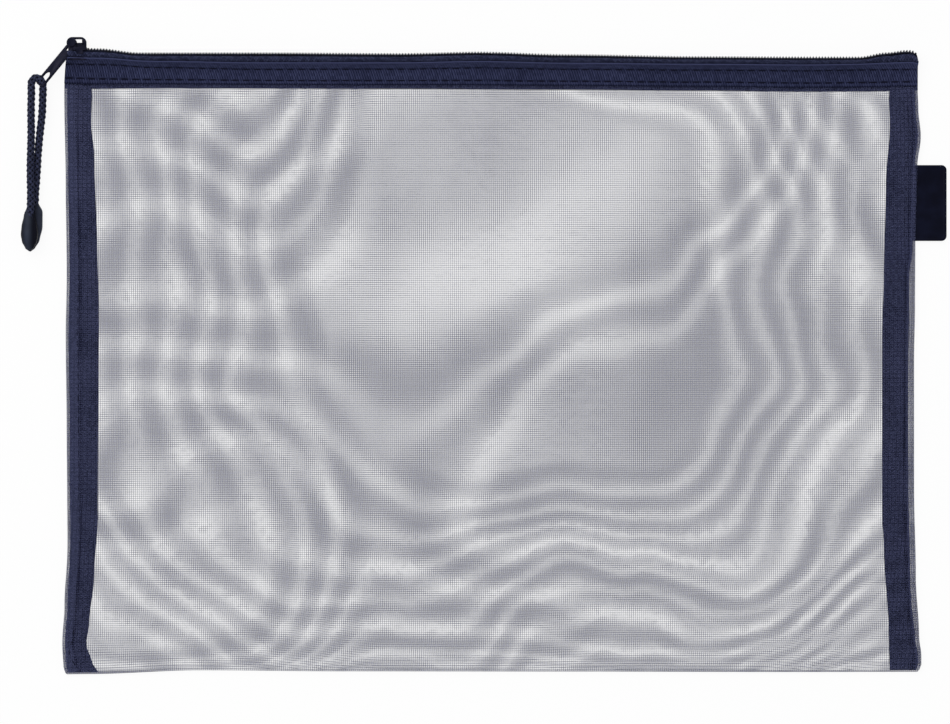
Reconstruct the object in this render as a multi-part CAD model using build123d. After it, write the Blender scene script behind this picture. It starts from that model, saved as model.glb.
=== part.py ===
from build123d import *
import math
import os

# A zip document wallet lying on its back: X runs along the zip, Y from the bottom fold up to the zip,
# Z out of the front. The origin is the middle of the back panel's outer face.

# Body
wallet_width = 339.2
wallet_height = 247.5  # from the bottom fold to the top of the zip's coils
mesh_thickness = 0.35
pocket_rise = 3.35  # how far the front panel stands above its own edge
pocket_slope = 8.0  # width of the sloping border round the front panel
band_gap = 1.0  # net between the zip tape and the pocket's slope
band_step = 2.0  # length of the back net's step up into the zip band

# Zip
tape_thickness = 0.45
tape_below_coil = 13.4  # tape that shows below the coil
tape_edge_gap = 1.5  # between the two tapes, under the coils
tape_shoulder = 2.6  # half the width of the rounded ridge over the tapes
shoulder_drop = 2.1
ridge_bend = 5.2  # from the top of the tape down to where it lies flat
tape_end_inset = 1.2  # the tapes stop short of the left seam, under the slider's mouth
chain_height = 4.1  # of the middle of the coils above the back
coil_thickness = 1.8
coil_half_width = 2.1
coil_spine = 1.2
tooth_pitch = 1.2
tooth_width = 0.5
tooth_tip_gap = 0.15
first_tooth_share = 0.25  # of a pitch, before the front half's first tooth

# Woven edge bindings and their stitches
binding_thickness = 0.4
binding_foot = 1.5  # tape showing below the zip binding
slope_binding_share = 0.77  # of the ridge's slope that the zip binding climbs
slope_mesh_share = 0.7
stitch_length = 3.3
stitch_pitch = 4.6
stitch_width = 0.5
stitch_thickness = 0.15
lower_stitch_inset = 1.6  # above the zip binding's lower edge
upper_stitch_inset = 0.7  # below the ridge's bend

# Side seams, turned in and bound
hem_thickness = 0.3
hem_gap = 0.05
hem_width = 9.0
side_binding_width = 10.2
side_binding_inset = 1.8
seam_stitch_inset = 4.8

# Side tab
tab_reach = 11.6
tab_height = 30.2
tab_thickness = 1.1
tab_tuck = 1.6  # held in the seam
tab_drop = 60.25  # from the top of the zip down to the tab's middle
tab_corner = 2.0

# Slider
slider_length = 5.4
slider_half_width = 3.4
slider_upper_plate = 1.2
slider_lower_plate = 1.1
slider_lower_half_width = 1.8
slider_lower_overhang = 2.2  # the lower plate reaches further left than the upper one
slider_flange = 0.45
slider_flange_drop = 1.4
slider_from_left = 3.4  # left end of the upper plate, from the left seam
slider_corner = 1.4
post_length = 1.2
post_half_width = 0.5
crown_wall = 0.85
crown_window_length = 6.15
crown_window_height = 2.7
crown_half_thickness = 0.8
crown_overhang = 2.7  # beyond the left end of the upper plate
crown_sink = 0.25

# Pull
pull_length = 21.5
pull_width = 5.2
pull_thickness = 0.9
pull_bar_radius = 0.5
pull_window_length = 3.2
pull_window_half_width = 1.3
pull_slot_length = 5.2
pull_slot_width = 3.9
pull_rim = 1.5
pull_corner = 1.2
pull_direction = 230.5  # degrees from +X, seen from the front
pull_tilt = 22.0  # degrees of its broad face from edge on

# Cord and cord end
cord_diameter = 3.0
bend_run_share = 0.45  # of the shorter run that a bend of the cord takes up
cord_end_length = 20.0
cord_end_width = 9.0
cord_end_thickness = 8.0
cord_end_mouth = 7.4
cord_end_corner = 2.3
cord_end_edge = 2.0
cord_end_step = 0.35  # the front shell is this much smaller all round
cord_end_belly = 11.0  # from its mouth down to its widest place
cord_entry = 6.6  # length of cord inside it, above the knot
knot_width = 5.0
knot_length = 7.5
knot_thickness = 6.2
knot_corner = 0.8

# Fits
fit = 0.2  # around what moves or is threaded through
slide_fit = 0.25  # between the slider and the zip
overrun = 1.0  # of cuts past what they cut

# Cord route, from the knot up the left strand, through the pull's slot and down the right strand
cord_route = [
    (-183.3, 57.5, 5.45),
    (-183.3, 64.5, 5.45),
    (-183.7, 77.0, 5.15),
    (-183.0, 90.0, 4.6),
    (-183.3, 101.0, 4.25),
    (-183.0, 108.0, 4.1),
    (-183.1, 113.6, 4.1),
    (-180.1, 115.0, 4.1),
    (-177.3, 112.7, 4.1),
    (-177.35, 107.5, 4.1),
    (-178.0, 100.0, 3.95),
    (-179.5, 89.0, 3.4),
    (-180.9, 77.0, 2.8),
    (-181.7, 64.5, 2.55),
    (-181.7, 57.5, 2.55),
]

# Layers of the zip band, from the back to the front
back_binding_z = stitch_thickness
back_mesh_z = back_binding_z + binding_thickness
back_tape_z = back_mesh_z + mesh_thickness
front_tape_z = back_tape_z + tape_thickness + stitch_thickness
front_mesh_z = front_tape_z + tape_thickness
front_binding_z = front_mesh_z + mesh_thickness
front_stitch_z = front_binding_z + binding_thickness

# Places that several pieces share
half_width = wallet_width / 2
ridge_y = wallet_height / 2
tape_top_y = ridge_y - coil_thickness
tape_bottom_y = tape_top_y - tape_below_coil
bend_y = tape_top_y - ridge_bend
shoulder_y = tape_top_y - shoulder_drop
binding_bottom_y = tape_bottom_y + binding_foot
pocket_top_y = tape_bottom_y - band_gap
seam_top_y = pocket_top_y - band_step - fit
fold_radius = (front_mesh_z + mesh_thickness) / 2
fold_y = fold_radius - wallet_height / 2
slope_ring = mesh_thickness * pocket_slope / pocket_rise
seam_bottom_y = fold_y + slope_ring + fit
slider_left = slider_from_left - half_width
upper_plate_y = ridge_y + slide_fit
plate_top_y = upper_plate_y + slider_upper_plate
lower_plate_y = tape_top_y - tape_thickness - slide_fit - slider_lower_plate
pivot = Vector(
    slider_left - crown_overhang + crown_wall + crown_window_height / 2,
    plate_top_y - crown_sink + crown_wall + crown_window_height / 2,
    chain_height,
)
back_hem_z = back_tape_z
front_hem_z = back_hem_z + hem_thickness + hem_gap
binding_low_z = back_hem_z - hem_gap - binding_thickness
binding_high_z = front_hem_z + hem_thickness + hem_gap + binding_thickness
tab_high_z = front_mesh_z - hem_gap
knot_x = (cord_route[0][0] + cord_route[-1][0]) / 2
knot_y = cord_route[0][1]
cord_end_z = cord_end_thickness / 2


def shifted(points, distance):
    """The same path moved to its left by a distance, with mitred corners."""
    at = [Vector(*p) for p in points]
    runs = [(b - a).normalized() for a, b in zip(at, at[1:])]
    before = [runs[0]] + runs
    after = runs + [runs[-1]]
    moved = []
    for point, u, v in zip(at, before, after):
        left = Vector(-u.Y - v.Y, u.X + v.X)
        moved.append(point + left * (distance / (1 + u.dot(v))))
    return [(p.X, p.Y) for p in moved]


def along_x(outline, x_low, x_high):
    """A closed outline in Y and Z, drawn out along X."""
    face = make_face(Polyline(*outline, close=True))
    return extrude(Plane.YZ.offset(x_low) * face, x_high - x_low)


def ribbon(path, inner, outer, x_low, x_high):
    """A sheet between two offsets of one path, drawn out along X."""
    return along_x(shifted(path, inner) + shifted(path, outer)[::-1], x_low, x_high)


def block(x, y, z):
    """A box from its limits along each axis."""
    middle = [(low + high) / 2 for low, high in (x, y, z)]
    return Pos(*middle) * Box(*[high - low for low, high in (x, y, z)])


def tape_path(outward):
    """Outer face of one zip tape, from its lower edge up over the ridge to the coil."""
    flat_z = front_mesh_z if outward > 0 else back_tape_z
    shoulder_z = chain_height + outward * tape_shoulder
    return [
        (tape_bottom_y, flat_z),
        (bend_y, flat_z),
        (shoulder_y, shoulder_z),
        (tape_top_y, shoulder_z),
        (tape_top_y, chain_height + outward * tape_edge_gap / 2),
    ]


def climbing_path(outward, bottom_y, share):
    """The tape's path from a height on the flat up to a share of the ridge's slope."""
    path = tape_path(outward)
    bend, shoulder = Vector(*path[1]), Vector(*path[2])
    top = bend + (shoulder - bend) * share
    return [(bottom_y, path[0][1]), path[1], (top.X, top.Y)]


def zip_tape(outward):
    return ribbon(tape_path(outward), 0, -outward * tape_thickness, tape_end_inset - half_width, half_width)


def zip_binding(outward):
    path = climbing_path(outward, binding_bottom_y, slope_binding_share)
    outer = mesh_thickness + binding_thickness
    return ribbon(path, outward * mesh_thickness, outward * outer, -half_width, half_width)


def band_mesh(outward):
    path = climbing_path(outward, pocket_top_y - slope_ring, slope_mesh_share)
    return ribbon(path, 0, outward * mesh_thickness, -half_width, half_width)


def coil(outward):
    """One half of the zip's coil, a comb whose teeth reach between the teeth of the other half."""
    first_x = slider_left + post_length + slide_fit + fit
    count = int((half_width - first_x) / tooth_pitch) - 1
    spine_z = chain_height + outward * (coil_half_width - coil_spine)
    tip_z = chain_height - outward * (coil_half_width - coil_spine - tooth_tip_gap)
    edge_z = chain_height + outward * coil_half_width
    lead = tooth_pitch * (first_tooth_share if outward > 0 else first_tooth_share + 1 / 2)
    last_x = first_x + (count + 1) * tooth_pitch
    outline = [(last_x, spine_z), (last_x, edge_z), (first_x, edge_z), (first_x, spine_z)]
    for i in range(count):
        x = first_x + lead + i * tooth_pitch
        outline += [(x, spine_z), (x, tip_z), (x + tooth_width, tip_z), (x + tooth_width, spine_z)]
    plane = Plane(origin=(0, ridge_y, 0), x_dir=(1, 0, 0), z_dir=(0, -1, 0))
    return extrude(plane * make_face(Polyline(*outline, close=True)), coil_thickness)


def stitch_row(start, end, z):
    """Thread stitches in a straight row between two points, each its own short run."""
    start, end = Vector(*start), Vector(*end)
    run = (end - start).normalized()
    count = int((end - start).length / stitch_pitch)
    spare = ((end - start).length - count * stitch_pitch + stitch_pitch - stitch_length) / 2
    stitch = extrude(SlotOverall(stitch_length, stitch_width), stitch_thickness)
    turn = math.degrees(math.atan2(run.Y, run.X))
    places = [start + run * (spare + stitch_length / 2 + i * stitch_pitch) for i in range(count)]
    return Compound([Pos(p.X, p.Y, z) * Rot(0, 0, turn) * stitch for p in places])


def seam_edge(panel_z, hem_z):
    """The turned-in side edges of one panel, a lip up or down to its hem and the hem itself."""
    lip_z = sorted((panel_z, hem_z, hem_z + hem_thickness))
    edges = []
    for side in (-1, 1):
        lip_x = sorted((side * half_width, side * (half_width - mesh_thickness)))
        hem_x = sorted((side * half_width, side * (half_width - side_binding_inset - hem_width)))
        edges.append(block(lip_x, (fold_y, seam_top_y), (lip_z[0], lip_z[-1])))
        edges.append(block(hem_x, (fold_y, seam_top_y), (hem_z, hem_z + hem_thickness)))
    return edges


def tab_span(room):
    """Height limits of the side tab, with room round it."""
    middle = ridge_y - tab_drop
    return middle - tab_height / 2 - room, middle + tab_height / 2 + room


def tab_notch():
    """The gap in the right seam that the side tab is held in."""
    x = (half_width - tab_tuck - fit, half_width + overrun)
    return block(x, tab_span(fit), (tab_high_z - tab_thickness - hem_gap, tab_high_z + hem_gap))


def front_panel():
    """The front net: a shallow tray over the pocket, its strip up the zip band and its side hems."""
    middle_y = (fold_y + pocket_top_y) / 2
    height = pocket_top_y - fold_y
    slopes = 2 * pocket_slope
    edge = Pos(0, middle_y, front_binding_z) * Rectangle(wallet_width, height)
    top_z = front_binding_z + pocket_rise
    top = Pos(0, middle_y, top_z) * Rectangle(wallet_width - slopes, height - slopes)
    tray = loft([edge, top], ruled=True)
    tray -= Pos(0, 0, -mesh_thickness) * tray
    rim_x, rim_y = half_width - slope_ring, height / 2 - slope_ring
    rim = block((-half_width, half_width), (fold_y, pocket_top_y), (front_mesh_z, front_binding_z))
    rim_z = (front_mesh_z - overrun, front_binding_z + overrun)
    rim -= block((-rim_x, rim_x), (middle_y - rim_y, middle_y + rim_y), rim_z)
    panel = tray + rim + band_mesh(1)
    for edge in seam_edge(front_mesh_z, front_hem_z):
        panel += edge
    return panel - tab_notch()


def back_panel():
    """The back net: a flat sheet with the bottom fold on it, raised where it is sewn into the zip band."""
    band = climbing_path(-1, pocket_top_y, slope_mesh_share)
    path = [(fold_y, mesh_thickness), (pocket_top_y - band_step, mesh_thickness)] + band
    sheet = ribbon(path, 0, -mesh_thickness, -half_width, half_width)
    ring = Circle(fold_radius) - Circle(fold_radius - mesh_thickness)
    kept = Pos(-fold_radius, 0) * Rectangle(2 * fold_radius, 2 * fold_radius + overrun)
    fold = Pos(fold_y, fold_radius) * (ring & kept)
    panel = sheet + extrude(Plane.YZ.offset(-half_width) * fold, wallet_width)
    for edge in seam_edge(0, back_hem_z):
        panel += edge
    return panel - tab_notch()


def side_binding(side):
    """A woven strip folded round both hems of one side seam."""
    outer = half_width - side_binding_inset
    inner = outer - side_binding_width
    span_y = (seam_bottom_y, seam_top_y)
    strip = block((inner, outer), span_y, (binding_low_z, binding_high_z))
    hem_z = (binding_low_z + binding_thickness, binding_high_z - binding_thickness)
    cut_y = (span_y[0] - overrun, span_y[1] + overrun)
    strip -= block((inner + binding_thickness, outer + overrun), cut_y, hem_z)
    return strip if side > 0 else mirror(strip, Plane.YZ)


def side_tab():
    """A soft tab held in the right seam, with rounded outer corners."""
    x_low, x_high = half_width - tab_tuck, half_width + tab_reach
    y_low, y_high = tab_span(0)
    tab = block((x_low, x_high), (y_low, y_high), (tab_high_z - tab_thickness, tab_high_z))
    return fillet(tab.edges().filter_by(Axis.Z).sort_by(Axis.X)[-2:], tab_corner)


def slider_body():
    """The slider: two plates joined by a post at its wide end, flanges, and the crown that holds the pull."""
    right = slider_left + slider_length
    low_left = slider_left - slider_lower_overhang
    upper_plane = Plane(origin=(0, upper_plate_y, chain_height), x_dir=(1, 0, 0), z_dir=(0, 1, 0))
    upper_size = (slider_length, 2 * slider_half_width)
    upper = Pos((slider_left + right) / 2, 0) * RectangleRounded(*upper_size, slider_corner)
    body = extrude(upper_plane * upper, slider_upper_plate)
    lower_plane = Plane(origin=(0, lower_plate_y, chain_height), x_dir=(1, 0, 0), z_dir=(0, 1, 0))
    lower_size = (right - low_left, 2 * slider_lower_half_width)
    lower = Pos((low_left + right) / 2, 0) * RectangleRounded(*lower_size, slider_corner)
    body += extrude(lower_plane * lower, slider_lower_plate)
    post_z = (chain_height - post_half_width, chain_height + post_half_width)
    body += block((slider_left, slider_left + post_length), (lower_plate_y, plate_top_y), post_z)
    flange_x = (slider_left + slider_corner, right - slider_corner)
    for side in (-1, 1):
        edge = chain_height + side * slider_half_width
        flange_z = sorted((edge, edge - side * slider_flange))
        body += block(flange_x, (upper_plate_y - slider_flange_drop, plate_top_y), flange_z)
    outer = SlotOverall(crown_window_length + 2 * crown_wall, crown_window_height + 2 * crown_wall)
    window = SlotOverall(crown_window_length, crown_window_height)
    crown_x = pivot.X + (crown_window_length - crown_window_height) / 2
    crown_right = crown_x + crown_window_length / 2 + crown_wall
    crown = extrude(Pos(crown_x, pivot.Y, chain_height) * (outer - window), crown_half_thickness, both=True)
    foot_z = (chain_height - crown_half_thickness, chain_height + crown_half_thickness)
    foot = block((crown_right - crown_wall, crown_right), (plate_top_y - crown_sink, pivot.Y), foot_z)
    return body + crown + foot


def pull_tab():
    """The flat pull: a bar through the slider's crown, a window round the crown and a slot for the cord."""
    along = Vector(1, 0, 0).rotate(Axis.Z, pull_direction)
    across = Vector(0, 0, 1).cross(along)
    tilt = math.radians(pull_tilt)
    facing = Vector(0, 0, 1) * math.sin(tilt) - across * math.cos(tilt)
    plane = Plane(origin=pivot, x_dir=along, z_dir=facing)
    plate = Pos(pull_length / 2, 0) * Rectangle(pull_length, pull_width)
    plate = fillet(plate.vertices().sort_by(Axis.X)[-2:], pull_corner)
    window_x = pull_bar_radius + pull_window_length / 2
    plate -= Pos(window_x, 0) * Rectangle(pull_window_length, 2 * pull_window_half_width)
    slot_x = pull_length - pull_rim - pull_slot_length / 2
    plate -= Pos(slot_x, 0) * SlotOverall(pull_slot_length, pull_slot_width)
    bar = Rot(90, 0, 0) * Cylinder(pull_bar_radius, pull_width)
    return plane * (extrude(plate, pull_thickness / 2, both=True) + bar)


def pull_cord():
    """The doubled cord as one tube of straight runs and tangent arcs."""
    at = [Vector(*p) for p in cord_route]
    runs = [b - a for a, b in zip(at, at[1:])]
    radii = []
    for before, after in zip(runs, runs[1:]):
        shorter = min(before.length, after.length)
        radii.append(bend_run_share * shorter / math.tan(math.radians(before.get_angle(after) / 2)))
    path = FilletPolyline(*cord_route, radius=radii)
    tube = sweep(Plane(origin=path @ 0, z_dir=path % 0) * Circle(cord_diameter / 2), path)
    print("cord bend radii", [round(r, 1) for r in radii])
    print("cord length", round(path.length, 2), "volume", round(tube.volume, 2))
    print("section times length", round(math.pi * cord_diameter**2 / 4 * path.length, 2))
    return tube


def knot():
    """The cord's knot, packed into the cord end."""
    lump = Pos(knot_x, knot_y - knot_length / 2, cord_end_z) * Box(knot_width, knot_length, knot_thickness)
    return fillet(lump.edges().filter_by(Axis.Y), knot_corner)


def cord_end(outward):
    """One half of the drop-shaped shell round the knot, with channels for both strands of the cord."""
    step = cord_end_step if outward > 0 else 0
    corner = cord_end_corner - step
    mouth_x = cord_end_mouth / 2 - cord_end_corner
    rounds = [
        Pos(0, -cord_end_belly) * Circle(cord_end_width / 2 - step),
        Pos(0, cord_end_corner - cord_end_length) * Circle(corner),
        Pos(-mouth_x, -cord_end_corner) * Circle(corner),
        Pos(mouth_x, -cord_end_corner) * Circle(corner),
    ]
    outline = make_hull([r.edge() for r in rounds])
    top_y = knot_y + cord_entry
    shell = extrude(Pos(knot_x, top_y, cord_end_z) * outline, outward * cord_end_z)
    outer_face = shell.faces().sort_by(Axis.Z)[-1 if outward > 0 else 0]
    shell = fillet(outer_face.edges(), min(cord_end_edge, corner - fit / 2))
    room = 2 * fit
    knot_size = (knot_width + room, knot_length + room, knot_thickness + room)
    shell -= Pos(knot_x, knot_y - knot_length / 2, cord_end_z) * Box(*knot_size)
    channel = Rot(90, 0, 0) * Cylinder(cord_diameter / 2 + fit, 2 * (cord_entry + overrun))
    for x, y, z in (cord_route[0], cord_route[-1]):
        shell -= Pos(x, y, z) * channel
    return shell


def band_row(y, z):
    return stitch_row((-half_width, y), (half_width, y), z)


def seam_row(side):
    x = side * (half_width - seam_stitch_inset)
    return stitch_row((x, seam_bottom_y), (x, seam_top_y), binding_high_z)


upper_row_y = bend_y - upper_stitch_inset
lower_row_y = binding_bottom_y + lower_stitch_inset

nodes = {
    "back_panel": back_panel(),
    "front_panel": front_panel(),
    "left_side_binding": side_binding(-1),
    "right_side_binding": side_binding(1),
    "left_seam_stitches": seam_row(-1),
    "right_seam_stitches": seam_row(1),
    "back_zip_tape": zip_tape(-1),
    "front_zip_tape": zip_tape(1),
    "back_coil": coil(-1),
    "front_coil": coil(1),
    "back_zip_binding": zip_binding(-1),
    "front_zip_binding": zip_binding(1),
    "back_upper_stitches": band_row(upper_row_y, 0),
    "back_lower_stitches": band_row(lower_row_y, 0),
    "front_upper_stitches": band_row(upper_row_y, front_stitch_z),
    "front_lower_stitches": band_row(lower_row_y, front_stitch_z),
    "side_tab": side_tab(),
    "slider_body": slider_body(),
    "pull_tab": pull_tab(),
    "pull_cord": pull_cord(),
    "cord_knot": knot(),
    "cord_end_front": cord_end(1),
    "cord_end_back": cord_end(-1),
}

os.makedirs("parts", exist_ok=True)
for name, shape in nodes.items():
    export_step(shape, f"parts/{name}.step")
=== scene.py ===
import bpy
import math
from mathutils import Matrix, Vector, kdtree, noise


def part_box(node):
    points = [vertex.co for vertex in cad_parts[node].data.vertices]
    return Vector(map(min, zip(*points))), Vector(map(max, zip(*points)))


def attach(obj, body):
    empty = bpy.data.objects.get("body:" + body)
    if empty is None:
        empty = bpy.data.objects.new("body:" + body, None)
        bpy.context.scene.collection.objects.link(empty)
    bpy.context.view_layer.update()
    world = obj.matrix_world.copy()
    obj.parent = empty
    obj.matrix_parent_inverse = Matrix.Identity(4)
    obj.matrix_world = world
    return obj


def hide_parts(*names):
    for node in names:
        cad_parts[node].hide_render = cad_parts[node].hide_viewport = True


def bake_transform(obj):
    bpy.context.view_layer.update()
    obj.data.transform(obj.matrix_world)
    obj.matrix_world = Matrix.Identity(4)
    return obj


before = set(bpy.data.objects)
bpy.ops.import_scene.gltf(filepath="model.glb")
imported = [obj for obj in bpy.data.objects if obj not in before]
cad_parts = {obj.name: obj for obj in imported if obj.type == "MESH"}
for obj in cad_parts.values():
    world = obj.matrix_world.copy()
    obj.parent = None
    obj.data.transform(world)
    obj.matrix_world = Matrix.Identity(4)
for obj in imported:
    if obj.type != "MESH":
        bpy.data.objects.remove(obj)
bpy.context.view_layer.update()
print("frame loaded:", len(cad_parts), "nodes")

mm = 0.001
hands = {-1: "Left", 1: "Right"}  # the wallet's sides, by the sign of x


# small helpers for curves

def eased(share):
    share = min(max(share, 0.0), 1.0)
    return share * share * (3 - 2 * share)


def along(knots, place):  # smooth value between given (place, value) pairs, in mm
    if place <= knots[0][0]:
        return knots[0][1]
    for (a, low), (b, high) in zip(knots, knots[1:]):
        if place <= b:
            return low + (high - low) * eased((place - a) / (b - a))
    return knots[-1][1]


def rounded(points, rounds=3):  # corners cut off again and again, with the ends kept
    for _ in range(rounds):
        cut = [points[0]]
        for (ay, az), (by, bz) in zip(points, points[1:]):
            cut.append((0.75 * ay + 0.25 * by, 0.75 * az + 0.25 * bz))
            cut.append((0.25 * ay + 0.75 * by, 0.25 * az + 0.75 * bz))
        points = cut + [points[-1]]
    return points


def offsetPath(points, distance):  # the same path moved to its left
    moved = []
    for i, (y, z) in enumerate(points):
        before, after = points[max(i - 1, 0)], points[min(i + 1, len(points) - 1)]
        run = Vector((after[0] - before[0], after[1] - before[1])).normalized()
        moved.append((y - run.y * distance, z + run.x * distance))
    return moved


def pathLengths(points):
    lengths = [0.0]
    for a, b in zip(points, points[1:]):
        lengths.append(lengths[-1] + math.dist(a, b))
    return lengths


def pickPath(points, share):  # a point of the path by its place in the list
    place = share * (len(points) - 1)
    i = min(int(place), len(points) - 2)
    return [a + (b - a) * (place - i) for a, b in zip(points[i], points[i + 1])]


def evenPath(points, count):  # the same path with its points evenly spaced
    lengths = pathLengths(points)
    spaced = []
    for k in range(count):
        want = lengths[-1] * k / (count - 1)
        i = max(j for j in range(len(points) - 1) if lengths[j] <= want + 1e-9)
        share = (want - lengths[i]) / (lengths[i + 1] - lengths[i])
        spaced.append(tuple(a + (b - a) * share for a, b in zip(points[i], points[i + 1])))
    return spaced


# small helpers for pieces

def pick(*pieces):  # only these are selected, and the first is active
    bpy.ops.object.select_all(action="DESELECT")
    for piece in pieces:
        piece.select_set(True)
    bpy.context.view_layer.objects.active = pieces[0]


def newPiece(name):
    piece = bpy.context.object
    piece.name = name
    piece.data.name = name
    return piece


def added(name, kind, **settings):  # a primitive to start from
    bpy.ops.object.select_all(action="DESELECT")
    getattr(bpy.ops.mesh, "primitive_" + kind + "_add")(**settings)
    return newPiece(name)


def gridPiece(name, columns, rows, place, thread):  # place and thread take shares across and up, in mm
    piece = added(name, "grid", x_subdivisions=columns, y_subdivisions=rows, size=2)
    spots = [(0.5 + v.co.x / 2, 0.5 + v.co.y / 2) for v in piece.data.vertices]
    for vertex, spot in zip(piece.data.vertices, spots):
        vertex.co = Vector(place(*spot)) * mm
    threads = [Vector(thread(*spot)) * mm for spot in spots]
    uvs = piece.data.uv_layers.active.data
    for loop in piece.data.loops:
        uvs[loop.index].uv = threads[loop.vertex_index]
    bpy.ops.object.shade_smooth()
    return piece


def boxBetween(name, low, high):  # corners in metres
    block = added(name, "cube", size=1)
    for vertex in block.data.vertices:
        vertex.co = [a + (b - a) * (0.5 + c) for a, b, c in zip(low, high, vertex.co)]
    return block


def applied(piece, kind, **settings):
    pick(piece)
    modifier = piece.modifiers.new(kind.title(), kind)
    for key, value in settings.items():
        setattr(modifier, key, value)
    bpy.ops.object.modifier_apply(modifier=modifier.name)
    return piece


def repeated(piece, count, pitch):  # copies along x, pitch in mm
    return applied(piece, "ARRAY", count=count, use_relative_offset=False, use_constant_offset=True,
                   constant_offset_displace=(pitch * mm, 0, 0))


def edgesEased(piece, width, segments, angle):  # width in mm, angle in degrees
    return applied(piece, "BEVEL", width=width * mm, segments=segments, limit_method="ANGLE",
                   angle_limit=math.radians(angle))


def joined(name, *pieces):
    pick(*pieces)
    bpy.ops.object.join()
    return newPiece(name)


def smoothed(angle):  # the active piece, with its sharper edges kept
    bpy.ops.object.shade_smooth_by_angle(angle=math.radians(angle))


def mode(kind):
    bpy.ops.object.mode_set(mode=kind)


def quarterTurn(axis):  # the active piece, about its own middle
    mode("EDIT")
    bpy.ops.mesh.select_all(action="SELECT")
    bpy.ops.transform.rotate(value=math.pi / 2, orient_axis=axis, center_override=(0, 0, 0))
    mode("OBJECT")


def outwards(piece):  # closed pieces have their faces turned out
    pick(piece)
    mode("EDIT")
    bpy.ops.mesh.select_all(action="SELECT")
    bpy.ops.mesh.remove_doubles(threshold=1e-7)
    bpy.ops.mesh.normals_make_consistent(inside=False)
    mode("OBJECT")
    return piece


def editOnly(piece, parts, kind, wanted):  # goes to edit mode with only the wanted edges or faces selected
    mode("EDIT")
    bpy.ops.mesh.select_mode(type=kind)
    bpy.ops.mesh.select_all(action="DESELECT")
    mode("OBJECT")
    for part in getattr(piece.data, parts):
        part.select = wanted(part)
    mode("EDIT")


def cornersRounded(piece, beyond, radius):  # the upright edges past this x
    def upright(edge):
        a, b = [piece.data.vertices[i].co for i in edge.vertices]
        return abs(a.z - b.z) > 1e-5 and a.x > beyond

    editOnly(piece, "edges", "EDGE", upright)
    bpy.ops.mesh.bevel(offset=radius * mm, segments=8, affect="EDGES")
    mode("OBJECT")


def store(piece, name, value):  # one number on each point, worked out from its place
    kept = piece.data.attributes.new(name, "FLOAT", "POINT")
    for spot, vertex in zip(kept.data, piece.data.vertices):
        spot.value = value(vertex.co)


def finishPiece(piece, material, slot, *nodes, rides=None):
    piece.data.materials.clear()
    piece.data.materials.append(material)
    if nodes:
        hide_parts(*nodes)
    if rides:
        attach(piece, rides)
    return piece


# small helpers for materials

def newMaterial(name):
    material = bpy.data.materials.new(name)
    material.use_nodes = True
    return material, material.node_tree.nodes["Principled BSDF"]


def beside(other, kind):  # a new node in the tree of another node or socket
    return other.id_data.nodes.new("ShaderNode" + kind)


def feed(socket, value):  # a number, a colour or what another node gives
    if isinstance(value, tuple):
        socket.default_value = (*value, 1)
    elif isinstance(value, (int, float)):
        socket.default_value = value
    else:
        socket.id_data.links.new(value, socket)


def maths(operation, *values):
    node = beside(next(value for value in values if not isinstance(value, (int, float))), "Math")
    node.operation = operation
    for socket, value in zip(node.inputs, values):
        feed(socket, value)
    return node.outputs[0]


def times(first, second):
    return maths("MULTIPLY", first, second)


def axes(shader, source="Object"):  # the piece's own x, y and z in metres, or its thread directions
    where = beside(shader, "TexCoord").outputs[source]
    split = beside(shader, "SeparateXYZ")
    feed(split.inputs[0], where)
    return split.outputs, where


def stored(shader, name):
    node = beside(shader, "Attribute")
    node.attribute_name = name
    return node.outputs["Fac"]


def grain(where, size, detail=2.0):  # noise with features of about this size, in mm
    turned = beside(where, "Mapping")
    turned.inputs["Scale"].default_value = [1 / (size * mm)] * 3
    feed(turned.inputs["Vector"], where)
    node = beside(where, "TexNoise")
    for name, value in (("Vector", turned.outputs[0]), ("Scale", 1.0), ("Detail", detail)):
        feed(node.inputs[name], value)
    return node.outputs["Fac"]


def ripple(value, pitch, shift=0.0):  # 0 to 1 and back in each pitch, in mm
    turned = maths("MULTIPLY_ADD", value, 2 * math.pi / (pitch * mm), shift)
    return maths("MULTIPLY_ADD", maths("SINE", turned), 0.5, 0.5)


def spread(value, low, high, first=0.0, last=1.0):
    node = beside(value, "MapRange")
    node.interpolation_type = "SMOOTHSTEP"
    names = ("Value", "From Min", "From Max", "To Min", "To Max")
    for name, number in zip(names, (value, low, high, first, last)):
        feed(node.inputs[name], number)
    return node.outputs["Result"]


def mixColor(share, first, second):
    node = beside(share, "Mix")
    node.data_type = "RGBA"
    for place, value in (("Factor", share), (6, first), (7, second)):
        feed(node.inputs[place], value)
    return node.outputs[2]


def tinted(share, look):
    return mixColor(share, look["dark"], look["light"])


def surfaced(shader, look, color, roughBy, height, under=None):  # look has rough, gloss and relief
    bump = beside(shader, "Bump")
    depth, strength = look["relief"]
    for name, value in (("Distance", depth * mm), ("Strength", strength), ("Height", height)):
        feed(bump.inputs[name], value)
    if under:
        feed(bump.inputs["Normal"], under)
    for name, value in (("Base Color", color), ("Roughness", spread(roughBy, *look["rough"])),
                        ("Specular IOR Level", look["gloss"]), ("Normal", bump.outputs[0])):
        feed(shader.inputs[name], value)


# camera, light and floor

photo = dict(width=950, height=724, pixel=0.3986, middle=(491.5, 362.5))  # mm a pixel, wallet's middle
studio = dict(lens=150, sensor=36, far=20, sky=0.6, lamp=15, lampSize=1.6, lampAt=(-0.7, 0.75, 1.35))
floorLook = dict(reach=6, drop=0.25, color=(0.96, 0.96, 0.96), rough=0.9, glow=0.92)


def backdropRays(other):  # camera, mirror and glass rays see the plain white ground
    path = beside(other, "LightPath")
    first = maths("MAXIMUM", path.outputs["Is Camera Ray"], path.outputs["Is Glossy Ray"])
    return maths("MAXIMUM", first, path.outputs["Is Transmission Ray"])


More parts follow.
